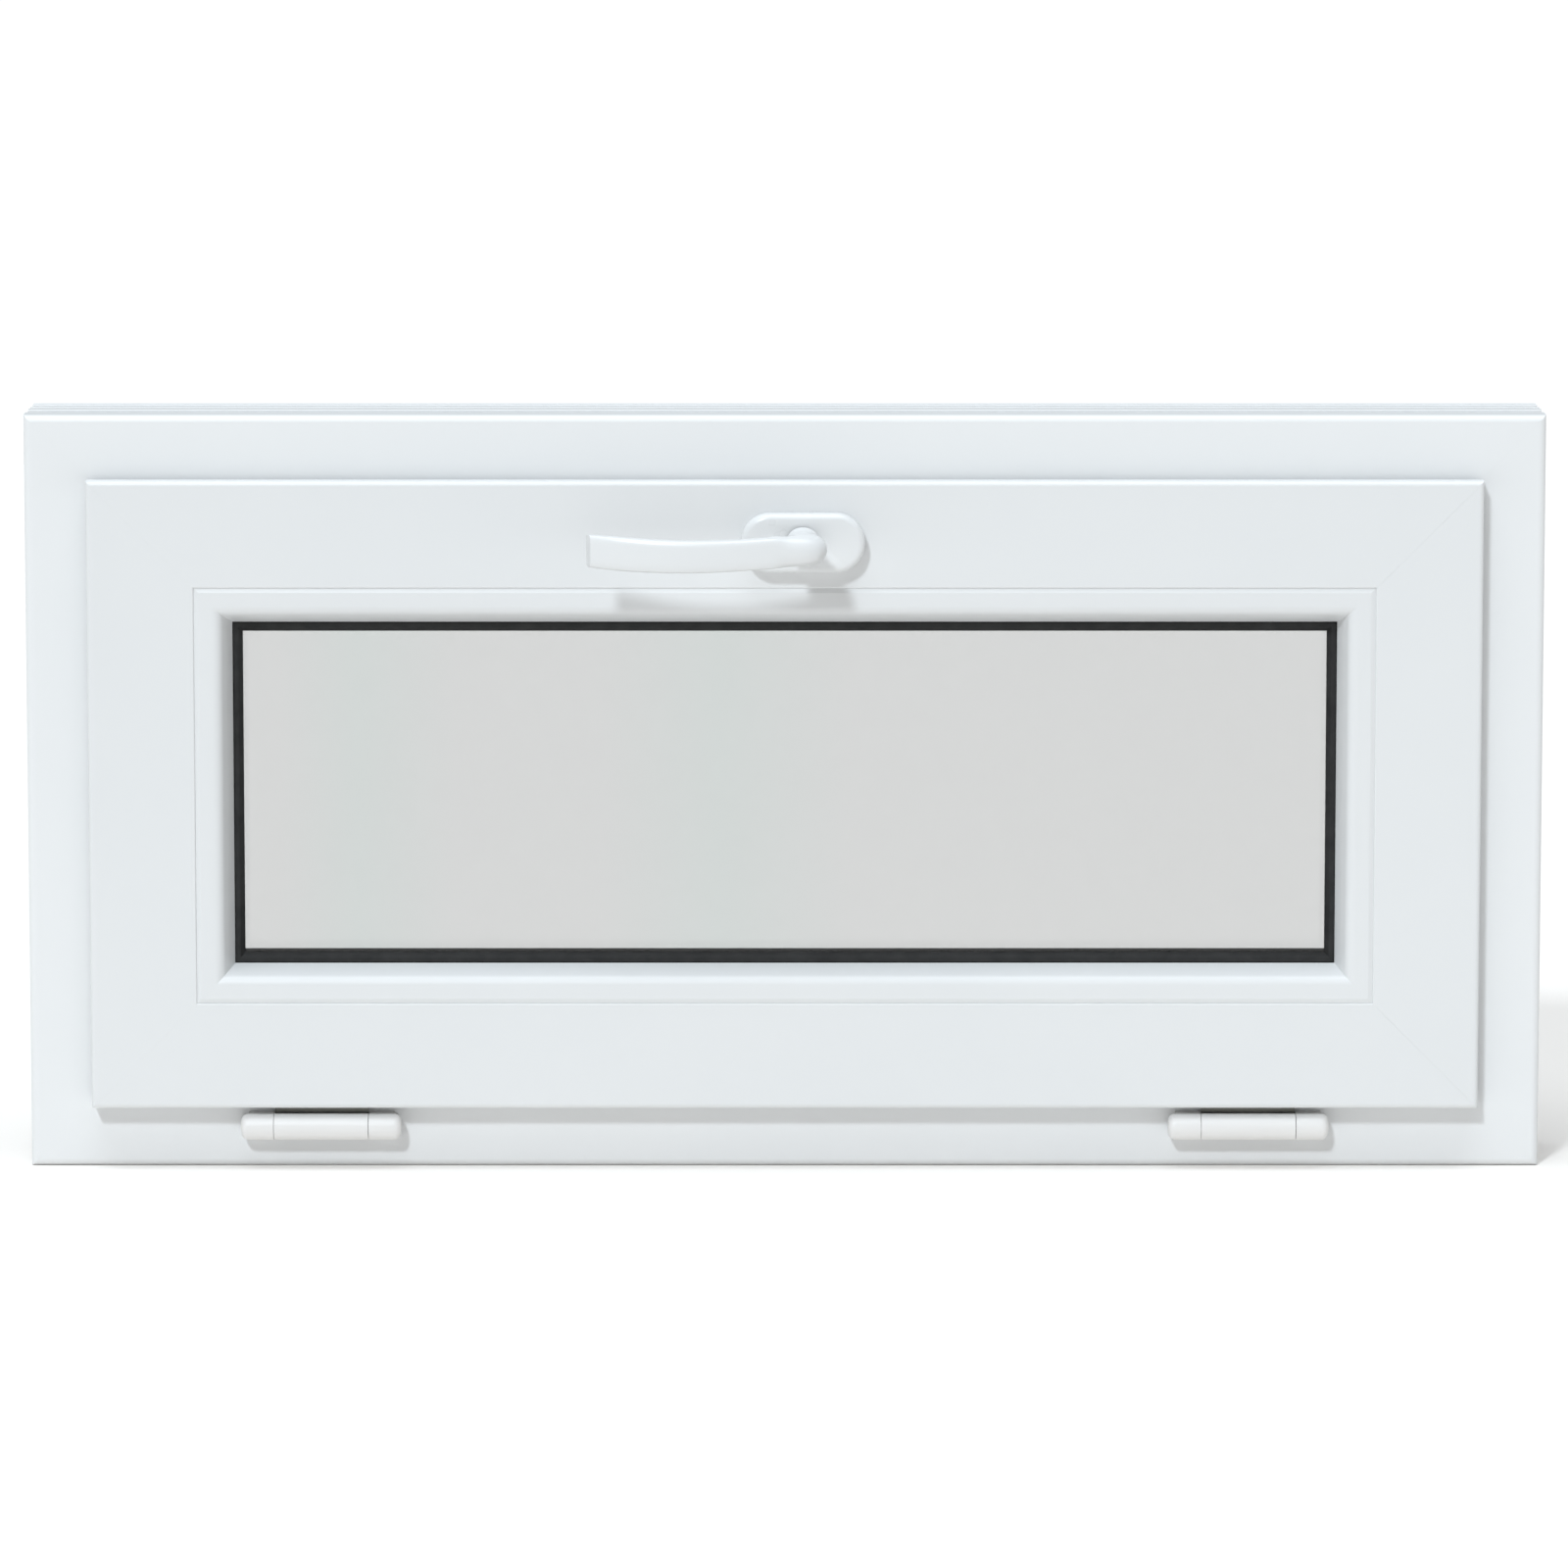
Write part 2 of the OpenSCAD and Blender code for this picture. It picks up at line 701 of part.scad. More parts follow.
module sash_stile(s) {
    color("white") difference() {
        sash_bar(s < 0 ? "left" : "right");
        handed(s) for (z = guide_screw_z()) translate([0, groove_y, z])
            rod_x(screw_r, -sash_side, -sash_side + 16);
    }
}

// Steel channels in the sash's main chamber, open towards the fitting groove
module sash_reinforcement() {
    clear = 0.5;
    steel_t = 1.5;
    y0 = front_chamber + wall + clear;
    y1 = sash_back - wall - 19.2 - clear;
    u1 = chamber_u1 - clear;
    color("silver") difference() {
        for (side = sides) straight_bar(side, bead_seat) difference() {
            area(y0, chamber_u0 + clear, y1, u1);
            area(y0 + steel_t, chamber_u0, y1 - steel_t, u1 - steel_t);
        }
        handle_holes(20);
        gearbox_pocket();
        both_hinges() leaf_screw_spots() cylinder(r = screw_r, h = 60);
    }
}

module sash_lap_gasket() {
    u = visible_frame + 3.5;
    color("gainsboro") difference() {
        union() for (side = sides) mitred_bar(side) polygon([
            [lap_y - 2.4, u + 0.1], [lap_y, u + 0.1], [lap_y, u - 1], [frame_front - seal_clear, u - 1.8],
            [frame_front - seal_clear, u + 2], [lap_y, u + 2.4], [lap_y - 2.4, u + 2.4]]);
        both_hinges() block(-hinge_mid_l / 2 - 0.5, 0, 0, hinge_mid_l / 2 + 0.5, hinge_out + 1, 30);
    }
}

// ---- Glazing ----

// A hollow bead with a foot that clips into the sash
module bead_section() {
    back = glass_front - seal_t;
    foot_end = bead_foot_y + bead_foot_t;
    difference() {
        polygon(rounded([
            [sash_front + 0.9, bead_seat, 0],
            [sash_front, bead_seat + 2.4, 0.8],
            [sash_front, bead_tip - 6.2, 6],
            [sash_front + 7.5, bead_tip - 3, 3],
            [back, bead_tip, 0.5],
            [back, bead_seat, 0],
            [foot_end, bead_seat, 0],
            [foot_end, bead_seat - 4.6, 0],
            [bead_foot_y, bead_seat - 4.6, 0],
            [bead_foot_y, bead_seat, 0]]));
        area(sash_front + 3, bead_seat + 2, back - 1.6, bead_tip - 8.4);
    }
}

module bead(side) {
    color("white") mitred_bar(side) bead_section();
}

// Rubber strip between bead and glass, with a rounded lip that shows
module glazing_gasket_inner() {
    back = glass_front;
    front = back - seal_t;
    lip = bead_tip + gasket_show;
    color("dimgray") for (side = sides) mitred_bar(side) polygon(rounded([
        [back, bead_tip - 5, 0],
        [front, bead_tip - 5, 0],
        [front, bead_tip, 0],
        [front - 0.8, bead_tip + 0.5, 0.3],
        [front - 0.2, bead_tip + 2.8, 1.5],
        [back - 0.5, lip, 0.3],
        [back, lip, 0]], 3));
}

module glazing_gasket_outer() {
    front = glass_back;
    back = glazing_y;
    color("dimgray") for (side = sides) mitred_bar(side) polygon(rounded([
        [front, sash_tip - 6, 0],
        [front, sash_tip + 3, 0],
        [front + 0.6, sash_tip + 3, 0.3],
        [back, sash_tip - 1.5, 0],
        [back, sash_tip - 6, 0]], 3));
}

module pane(front) {
    block(glass_edge - window_w / 2, front, glass_edge,
        window_w / 2 - glass_edge, front + pane_t, window_h - glass_edge);
}

module inner_pane() {
    color("lightcyan", 0.4) pane(glass_front);
}

module outer_pane() {
    color("lightcyan", 0.4) pane(glass_back - pane_t);
}

// A rectangular ring between the panes, from u0 to u1 above the frame's outer edge
module pane_ring(u0, u1) {
    difference() {
        block(u0 - window_w / 2, glass_front + pane_t, u0,
            window_w / 2 - u0, glass_back - pane_t, window_h - u0);
        block(u1 - window_w / 2, glass_front, u1, window_w / 2 - u1, glass_back, window_h - u1);
    }
}

sealant_h = 5;
spacer_h = 6.5;

module spacer_bar() {
    u0 = glass_edge + sealant_h;
    color("silver") difference() {
        pane_ring(u0, u0 + spacer_h);
        difference() {
            block(u0 + 1 - window_w / 2, glass_front + pane_t + 1, u0 + 1,
                window_w / 2 - u0 - 1, glass_back - pane_t - 1, window_h - u0 - 1);
            block(u0 + spacer_h - 1 - window_w / 2, glass_front, u0 + spacer_h - 1,
                window_w / 2 - u0 - spacer_h + 1, glass_back, window_h - u0 - spacer_h + 1);
        }
    }
}

module edge_sealant() {
    color("dimgray") pane_ring(glass_edge, glass_edge + sealant_h);
}

module setting_blocks() {
    block_l = 60;
    from_corner = 60;
    color("royalblue") for (side = sides) {
        reach = side_l(side) / 2 - glass_edge - from_corner;
        at = side == "bottom" || side == "top" ? [-reach, reach] : [0];
        for (x = at) on_side(side) block(x - block_l / 2, glass_front + 0.5, bead_seat,
            x + block_l / 2, glass_back - 0.5, glass_edge);
    }
}

// ---- Lock in the top rail ----

outer_screw_x = [-1, 1] * (cam_x + 60);
inner_screw_x = [handle_x - case_w / 2 - 12, handle_x + case_w / 2 + 12];

module faceplate_screw_places() {
    for (x = concat(outer_screw_x, inner_screw_x)) translate([x, groove_y, faceplate_z]) children();
}

module faceplate() {
    half = cam_x + 75;
    color("gainsboro") difference() {
        block(-half, groove_y - groove_w / 2 + 0.2, faceplate_z,
            half, groove_y + groove_w / 2 - 0.2, faceplate_z + faceplate_t);
        for (x = [-cam_x, cam_x]) translate([x, groove_y, faceplate_z - 1]) {
            for (m = [0, -stroke]) translate([m, 0, 0]) cylinder(r = 2.8, h = 5);
            block(-stroke, -2.8, 0, 0, 2.8, 5);
        }
        faceplate_screw_places() translate([0, 0, -1]) {
            cylinder(r = screw_r + 0.1, h = 5);
            translate([0, 0, 1 + faceplate_t - screw_head_r + screw_r])
                cylinder(r1 = screw_r + 0.1, r2 = screw_head_r + 0.1, h = screw_head_r - screw_r + 0.01);
        }
    }
}

module faceplate_screws() {
    color("silver") faceplate_screw_places()
        translate([0, 0, faceplate_t - 14]) countersunk_screw(14);
}

module gearbox_outline(y0, y1) {
    block(handle_x - case_w / 2, y0, case_bottom, handle_x + case_w / 2, y1, faceplate_z);
}

module gearbox_cuts() {
    at_handle() {
        rod_y(pitch_r + module_size + 0.4, groove_y - rack_w / 2 - 0.2, groove_y + rack_w / 2 + 0.2);
        rod_y(6.3 + running, groove_y - case_t, groove_y + case_t);
        for (s = [-1, 1]) translate([s * handle_screws / 2, 0, 0])
            rod_y(2.5, groove_y - case_t, groove_y + case_t);
    }
    block(handle_x - case_w, groove_y - rod_w / 2 - 0.2, rod_top - rod_t - gap,
        handle_x + case_w, groove_y + rod_w / 2 + 0.2, faceplate_z + 1);
    block(handle_x - case_w, groove_y - rack_w / 2 - 0.2, handle_z + pitch_r - module_size - gap,
        handle_x + case_w, groove_y + rack_w / 2 + 0.2, faceplate_z);
}

module gearbox_case() {
    color("silver") difference() {
        gearbox_outline(groove_y - case_t / 2, groove_y + case_t / 2 - slab_t);
        gearbox_cuts();
    }
}

module gearbox_lid() {
    color("silver") difference() {
        gearbox_outline(groove_y + case_t / 2 - slab_t, groove_y + case_t / 2);
        gearbox_cuts();
    }
}

pressure_angle = 20;
backlash = 0.12;

function involute(base_r, t) =
    base_r * [cos(t) + t * PI / 180 * sin(t), sin(t) - t * PI / 180 * cos(t)];

// One flank of a tooth that is centred on the X axis, from root to tip
function flank() =
    let (base_r = pitch_r * cos(pressure_angle),
         tip_r = pitch_r + module_size,
         t_tip = acos(base_r / tip_r),
         t_max = sqrt(pow(tip_r / base_r, 2) - 1) * 180 / PI,
         at_pitch = tan(pressure_angle) * 180 / PI - pressure_angle,
         half = 90 / pinion_teeth - backlash / pitch_r * 90 / PI)
    [for (i = [0 : 5])
        let (p = involute(base_r, t_max * i / 5), a = half + at_pitch)
        [p[0] * cos(-a) - p[1] * sin(-a), p[0] * sin(-a) + p[1] * cos(-a)]];

function tooth() =
    let (side = flank(),
         root_r = pitch_r - 1.25 * module_size,
         a = atan2(side[0][1], side[0][0]))
    concat([root_r * [cos(a), sin(a)]], side,
        [for (i = [5 : -1 : 0]) [side[i][0], -side[i][1]]], [root_r * [cos(a), -sin(a)]]);

function turned(points, angle) =
    [for (p = points) [p[0] * cos(angle) - p[1] * sin(angle), p[0] * sin(angle) + p[1] * cos(angle)]];

module drive_pinion() {
    color("silver") at_handle() difference() {
        union() {
            translate([0, groove_y + rack_w / 2, 0]) rotate([90, 0, 0]) linear_extrude(rack_w)
                polygon([for (i = [0 : pinion_teeth - 1])
                    each turned(tooth(), 90 + 360 * i / pinion_teeth)]);
            rod_y(6.3, groove_y - case_t / 2, groove_y + case_t / 2);
        }
        block(-spindle_w / 2 - running, groove_y - case_t, -spindle_w / 2 - running,
            spindle_w / 2 + running, groove_y + case_t, spindle_w / 2 + running);
    }
}

rack_teeth = 8;

// Flat rod behind the faceplate, with a rack on its underside over the pinion
module drive_rod() {
    pitch = PI * module_size;
    line = handle_z + pitch_r;
    root = line + 1.25 * module_size;
    tip = line - module_size;
    half_tip = pitch / 4 - module_size * tan(pressure_angle) - backlash / 2;
    half_root = pitch / 4 + 1.25 * module_size * tan(pressure_angle) - backlash / 2;
    rack_x0 = handle_x - 2 * pitch - pitch / 2;
    rack_x1 = rack_x0 + (rack_teeth + 1) * pitch;
    color("gainsboro") {
        difference() {
            block(-cam_x - stroke - 10, groove_y - rod_w / 2, rod_top - rod_t,
                cam_x + 10, groove_y + rod_w / 2, rod_top);
            block(rack_x0 - 8, groove_y - rod_w, rod_top - rod_t - 1,
                rack_x1 + 1, groove_y + rod_w, root);
            for (x = inner_screw_x) block(x - screw_r - gap, groove_y - screw_r - gap, rod_top - rod_t - 1,
                x + stroke + screw_r + gap, groove_y + screw_r + gap, rod_top + 1);
        }
        for (i = [0 : rack_teeth - 1]) {
            x = handle_x + (i - 1.5) * pitch;
            translate([0, groove_y + rack_w / 2, 0]) rotate([90, 0, 0]) linear_extrude(rack_w)
                polygon([[x - half_root, root + 0.01], [x - half_tip, tip],
                    [x + half_tip, tip], [x + half_root, root + 0.01]]);
        }
    }
}

module locking_cams() {
    top = faceplate_z + faceplate_t + cam_h;
    color("silver") for (x = [-cam_x, cam_x]) translate([x, groove_y, 0]) {
        translate([0, 0, rod_top]) cylinder(r = 2.5, h = top - rod_top);
        translate([0, 0, top - cam_h + 0.2]) cylinder(r = cam_r, h = cam_h - 0.2);
    }
}

// ---- Handle ----

spindle_w = 7;
journal_r = 6.5;
base_t = 7;
cover_wall = 1.8;
neck_r = 8.2;
clip_y = sash_front - 1.6;

module rosette_base() {
    color("silver") at_handle() difference() {
        union() {
            stadium(rosette_l - 2 * cover_wall - 0.4, rosette_h - 2 * cover_wall - 0.4,
                sash_front - base_t, sash_front);
            for (s = [-1, 1]) translate([s * handle_screws / 2, 0, 0])
                rod_y(5, sash_front - 1, sash_front + 10);
        }
        rod_y(journal_r + running, sash_front - base_t - 1, sash_front + 1);
        rod_y(journal_r + 2.2, clip_y - 1.2, sash_front + 1);
        for (s = [-1, 1]) translate([s * handle_screws / 2, 0, 0]) {
            rod_y(2.6, sash_front - base_t - 1, sash_front + 11);
            rod_y(4.6, sash_front - base_t - 1, sash_front - base_t + 3);
        }
    }
}

module rosette_cover() {
    front = sash_front - rosette_t;
    color("white") at_handle() difference() {
        union() {
            stadium(rosette_l, rosette_h, front + 2, sash_front);
            stadium(rosette_l - 2, rosette_h - 2, front, front + 2);
        }
        stadium(rosette_l - 2 * cover_wall, rosette_h - 2 * cover_wall, front + cover_wall, sash_front + 1);
        rod_y(neck_r + gap, front - 1, sash_front);
    }
}

module rosette_screws() {
    color("silver") at_handle() for (s = [-1, 1]) translate([s * handle_screws / 2, 0, 0]) {
        rod_y(2.5, sash_front - base_t + 3, groove_y + 4);
        rod_y(4.5, sash_front - base_t + 0.2, sash_front - base_t + 3);
    }
}

module handle_spindle() {
    color("silver") at_handle() block(-spindle_w / 2, sash_front - rosette_t - 12, -spindle_w / 2,
        spindle_w / 2, groove_y + case_t / 2, spindle_w / 2);
}

module handle_circlip() {
    color("dimgray") at_handle() difference() {
        rod_y(journal_r + 1.8, clip_y, clip_y + 1);
        rod_y(journal_r - 1, clip_y - 1, clip_y + 2);
    }
}

// The lever's middle line, as [x, y] from its axis and the sash's face: out along the neck, round the
// elbow and along the bar, which bows outwards and comes back towards the sash at its tip
elbow_r = 11;
bow = 6;
tip_in = 4;

function lever_point(t) =
    t < 0.25 ? [0, -rosette_t - gap - (lever_out - elbow_r - rosette_t - gap) * t / 0.25] :
    t < 0.45 ? let (a = (t - 0.25) / 0.2 * 90) [elbow_r * (cos(a) - 1), -lever_out + elbow_r * (1 - sin(a))] :
    let (w = (t - 0.45) / 0.55)
    [-elbow_r - (lever_l - elbow_r) * w, -lever_out - bow * sin(w * 150) * 1.15 + (tip_in + 3.4) * w * w];

function lever_half_t(t) = t < 0.45 ? neck_r - 3.3 * t / 0.45 : 4.9 - 0.6 * (t - 0.45) / 0.55;

// One side of the bar in plan, at a distance along the normal from the middle line
function lever_side(s) = [for (i = [0 : 48])
    let (t = 0.2 + 0.8 * i / 48,
         c = lever_point(t),
         d = unit(lever_point(min(1, t + 0.01)) - lever_point(t - 0.01)))
    [c[0] - s * d[1] * lever_half_t(t), c[1] + s * d[0] * lever_half_t(t)]];

module lever_bar() {
    right = lever_side(1);
    left = lever_side(-1);
    n = len(left) - 1;
    intersection() {
        linear_extrude(4 * neck_r, center = true)
            polygon(concat(right, [for (i = [n : -1 : 0]) left[i]]));
        rotate([90, 0, 0]) linear_extrude(6 * lever_out, center = true) polygon(rounded([
            [neck_r, -6.3, 4], [neck_r, 6.3, 4], [-0.3 * lever_l, 6.6, 80], [-0.75 * lever_l, 8.2, 80],
            [-lever_l - 1, 8.2, 1.5], [-lever_l - 1, -8.2, 1.5],
            [-0.75 * lever_l, -8.2, 80], [-0.3 * lever_l, -6.6, 80]]));
    }
}

module handle_lever() {
    color("white") at_handle() difference() {
        union() {
            translate([0, sash_front, 0]) lever_bar();
            rod_y(neck_r, sash_front - lever_out + elbow_r, sash_front - rosette_t - gap);
            rod_y(journal_r, sash_front - rosette_t - 1, sash_front - 0.2);
        }
        difference() {
            rod_y(journal_r + 1, clip_y, clip_y + 1);
            rod_y(journal_r - 1, clip_y - 1, clip_y + 2);
        }
        block(-spindle_w / 2 - 0.02, sash_front - rosette_t - 12, -spindle_w / 2 - 0.02,
            spindle_w / 2 + 0.02, sash_front, spindle_w / 2 + 0.02);
    }
}

// ---- The whole window ----

frame_sill();
frame_head();
frame_jamb(-1);  // frame_jamb_left
frame_jamb(1);  // frame_jamb_right
frame_reinforcement();
frame_gasket();
keep(-1);  // keep_left
keep(1);  // keep_right
keep_screws();
hinge_frame_knuckles(-1);  // hinge_left_frame_knuckles
hinge_frame_knuckles(1);  // hinge_right_frame_knuckles
hinge_pin(-1);  // hinge_left_pin
hinge_pin(1);  // hinge_right_pin
hinge_end_caps(-1);  // hinge_left_end_caps
hinge_end_caps(1);  // hinge_right_end_caps
hinge_frame_screws();
stay_bracket(-1);  // stay_left_bracket
stay_bracket(1);  // stay_right_bracket
stay_bracket_screws();
drain_caps();
sash_bottom_rail();
sash_top_rail();
sash_stile(-1);  // sash_stile_left
sash_stile(1);  // sash_stile_right
sash_reinforcement();
sash_lap_gasket();
bead("bottom");  // bead_bottom
bead("top");  // bead_top
bead("left");  // bead_left
bead("right");  // bead_right
glazing_gasket_inner();
glazing_gasket_outer();
inner_pane();
outer_pane();
spacer_bar();
edge_sealant();
setting_blocks();
hinge_sash_leaf(-1);  // hinge_left_sash_leaf
hinge_sash_leaf(1);  // hinge_right_sash_leaf
hinge_sleeve(-1);  // hinge_left_sleeve
hinge_sleeve(1);  // hinge_right_sleeve
hinge_leaf_screws();
gearbox_case();
gearbox_lid();
faceplate();
faceplate_screws();
rosette_base();
rosette_cover();
rosette_screws();
stay_guide(-1);  // stay_left_guide
stay_guide(1);  // stay_right_guide
stay_guide_screws();
handle_lever();
handle_spindle();
handle_circlip();
drive_pinion();
drive_rod();
locking_cams();
stay_arm_part(-1);  // stay_left_arm
stay_arm_part(1);  // stay_right_arm
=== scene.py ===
# Looks of the white tilt window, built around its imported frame.
# Metres. X runs along the window, Y from the room to the outside, Z up.
import json
from math import cos, radians, sin

import bmesh
import bpy
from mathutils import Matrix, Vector


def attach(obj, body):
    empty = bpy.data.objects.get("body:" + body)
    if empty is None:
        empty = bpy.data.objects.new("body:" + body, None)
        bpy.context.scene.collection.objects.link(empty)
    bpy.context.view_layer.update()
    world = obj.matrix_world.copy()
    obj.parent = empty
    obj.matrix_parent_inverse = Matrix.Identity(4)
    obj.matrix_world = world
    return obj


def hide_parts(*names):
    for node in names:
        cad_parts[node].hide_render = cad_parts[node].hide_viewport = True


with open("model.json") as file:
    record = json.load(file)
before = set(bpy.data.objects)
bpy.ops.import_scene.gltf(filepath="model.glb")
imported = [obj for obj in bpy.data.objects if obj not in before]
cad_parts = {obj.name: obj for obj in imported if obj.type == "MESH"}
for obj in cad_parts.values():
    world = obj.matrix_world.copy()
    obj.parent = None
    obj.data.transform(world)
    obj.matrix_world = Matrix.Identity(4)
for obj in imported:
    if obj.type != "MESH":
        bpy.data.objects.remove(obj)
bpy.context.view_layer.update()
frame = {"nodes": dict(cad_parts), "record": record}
nodes = frame["nodes"]
bodyOf = {node: body for body, members in frame["record"]["behaviour"]["bodies"].items() for node in members}
slotOf = {part["node"]: part["material_slot"] for part in frame["record"]["subparts"]}
print("frame loaded:", len(nodes), "nodes")


# helpers for selecting, applying and finishing

def deselectAll():
    if bpy.context.object and bpy.context.object.mode != "OBJECT":
        bpy.ops.object.mode_set(mode="OBJECT")
    bpy.ops.object.select_all(action="DESELECT")


def activate(piece):
    deselectAll()
    piece.select_set(True)
    bpy.context.view_layer.objects.active = piece


def editMesh(piece):
    activate(piece)
    bpy.ops.object.mode_set(mode="EDIT")
    return bmesh.from_edit_mesh(piece.data)


def pick(piece, mesh, kind, test):
    modes = {"verts": "VERT", "edges": "EDGE", "faces": "FACE"}
    bpy.ops.mesh.select_all(action="DESELECT")
    bpy.ops.mesh.select_mode(type=modes[kind])
    for part in getattr(mesh, kind):
        if test(part):
            part.select_set(True)
    mesh.select_flush_mode()
    bmesh.update_edit_mesh(piece.data)


def applyModifier(piece, kind, **values):
    activate(piece)
    modifier = piece.modifiers.new(kind.title(), kind)
    for key, value in values.items():
        setattr(modifier, key, value)
    bpy.ops.object.modifier_apply(modifier=modifier.name)


def smooth(piece, angle):
    activate(piece)
    bpy.ops.object.shade_smooth_by_angle(angle=radians(angle))


def applyPlace(piece):
    activate(piece)
    bpy.ops.object.transform_apply(location=True, rotation=True, scale=True)


def finishPiece(piece, name, node, finish):
    # name it, give it its finish, and let it stand for its CAD node
    applyPlace(piece)
    piece.name = name
    piece.data.name = name
    piece.data.materials.clear()
    piece.data.materials.append(finish)
    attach(piece, bodyOf[node])
    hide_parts(node)


# materials: their patterns sit on object coordinates, and bump depths are in metres

def newMaterial(name):
    made = bpy.data.materials.new(name)
    made.use_nodes = True
    tree = made.node_tree
    shader = tree.nodes["Principled BSDF"]
    place = tree.nodes.new("ShaderNodeTexCoord")
    return made, tree, shader, place.outputs["Object"]


def stretched(tree, place, scale):
    mapping = tree.nodes.new("ShaderNodeMapping")
    mapping.inputs["Scale"].default_value = scale
    tree.links.new(place, mapping.inputs["Vector"])
    return mapping.outputs["Vector"]


def noise(tree, vector, scale, detail=3.0, roughness=0.5):
    made = tree.nodes.new("ShaderNodeTexNoise")
    made.inputs["Scale"].default_value = scale
    made.inputs["Detail"].default_value = detail
    made.inputs["Roughness"].default_value = roughness
    tree.links.new(vector, made.inputs["Vector"])
    return made.outputs["Fac"]


def ramp(tree, factor, *stops):
    made = tree.nodes.new("ShaderNodeValToRGB")
    while len(made.color_ramp.elements) < len(stops):
        made.color_ramp.elements.new(0.5)
    for element, (place, colour) in zip(made.color_ramp.elements, stops):
        element.position = place
        element.color = (*colour, 1)
    tree.links.new(factor, made.inputs["Fac"])
    return made.outputs["Color"]


def spread(tree, factor, low, high):
    made = tree.nodes.new("ShaderNodeMapRange")
    made.inputs["To Min"].default_value = low
    made.inputs["To Max"].default_value = high
    tree.links.new(factor, made.inputs["Value"])
    return made.outputs["Result"]


def bump(tree, height, strength, distance, under=None):
    made = tree.nodes.new("ShaderNodeBump")
    made.inputs["Strength"].default_value = strength
    made.inputs["Distance"].default_value = distance
    tree.links.new(height, made.inputs["Height"])
    if under is not None:
        tree.links.new(under, made.inputs["Normal"])
    return made.outputs["Normal"]


pvc = {
    "lineScale": 420, "lineStretch": 1.5, "lineDepth": 0.00004, "lineStrength": 0.10,
    "grainScale": 2600, "grainDepth": 0.00003, "grainStrength": 0.05,
    "cloudScale": 9, "lightUpTo": 0.3, "darkFrom": 0.75,
    "glossier": 0.03, "duller": 0.05, "ior": 1.5,
}


def profilePvc(name, light, dark, along, gloss):
    # extruded PVC: faint die lines along the bar over a very fine grain
    made, tree, shader, place = newMaterial(name)
    across, length = pvc["lineScale"], pvc["lineStretch"]
    dieScale = (length, across, across) if along == "X" else (across, across, length)
    lines = noise(tree, stretched(tree, place, dieScale), 1.0, 4)
    cloud = noise(tree, place, pvc["cloudScale"], 2)
    grain = noise(tree, place, pvc["grainScale"], 2)
    colour = ramp(tree, cloud, (pvc["lightUpTo"], light), (pvc["darkFrom"], dark))
    tree.links.new(colour, shader.inputs["Base Color"])
    sheen = spread(tree, lines, gloss - pvc["glossier"], gloss + pvc["duller"])
    tree.links.new(sheen, shader.inputs["Roughness"])
    fine = bump(tree, grain, pvc["grainStrength"], pvc["grainDepth"])
    tree.links.new(bump(tree, lines, pvc["lineStrength"], pvc["lineDepth"], fine), shader.inputs["Normal"])
    shader.inputs["IOR"].default_value = pvc["ior"]
    return made


plastic = {
    "cloudScale": 40, "lightUpTo": 0.3, "darkFrom": 0.75, "grainDepth": 0.00004,
    "glossier": 0.03, "duller": 0.05, "ior": 1.5,
}


def mouldedPlastic(name, light, dark, gloss, grainScale=1500, grainStrength=0.08):
    made, tree, shader, place = newMaterial(name)
    cloud = noise(tree, place, plastic["cloudScale"], 3)
    grain = noise(tree, place, grainScale, 3)
    colour = ramp(tree, cloud, (plastic["lightUpTo"], light), (plastic["darkFrom"], dark))
    tree.links.new(colour, shader.inputs["Base Color"])
    sheen = spread(tree, cloud, gloss - plastic["glossier"], gloss + plastic["duller"])
    tree.links.new(sheen, shader.inputs["Roughness"])
    tree.links.new(bump(tree, grain, grainStrength, plastic["grainDepth"]), shader.inputs["Normal"])
    shader.inputs["IOR"].default_value = plastic["ior"]
    return made


gasket = {
    "cloudScale": 120, "darkUpTo": 0.35, "lightFrom": 0.7, "glossier": 0.06, "duller": 0.08,
    "grainScale": 3200, "grainStrength": 0.15, "grainDepth": 0.00005, "shine": 0.12,
}


def rubber(name, light, dark, gloss):
    made, tree, shader, place = newMaterial(name)
    cloud = noise(tree, place, gasket["cloudScale"], 4)
    grain = noise(tree, place, gasket["grainScale"], 3)
    colour = ramp(tree, cloud, (gasket["darkUpTo"], dark), (gasket["lightFrom"], light))
    tree.links.new(colour, shader.inputs["Base Color"])
    sheen = spread(tree, cloud, gloss - gasket["glossier"], gloss + gasket["duller"])
    tree.links.new(sheen, shader.inputs["Roughness"])
    tree.links.new(bump(tree, grain, gasket["grainStrength"], gasket["grainDepth"]), shader.inputs["Normal"])
    shader.inputs["Specular IOR Level"].default_value = gasket["shine"]
    return made


zincCoat = {
    "dark": (0.42, 0.44, 0.46), "light": (0.66, 0.68, 0.70), "darkUpTo": 0.2, "lightFrom": 0.8,
    "crystalScale": 180, "cloudScale": 30, "roughLow": 0.32, "roughHigh": 0.5,
    "edgeStrength": 0.12, "edgeDepth": 0.0001, "metallic": 0.9,
}


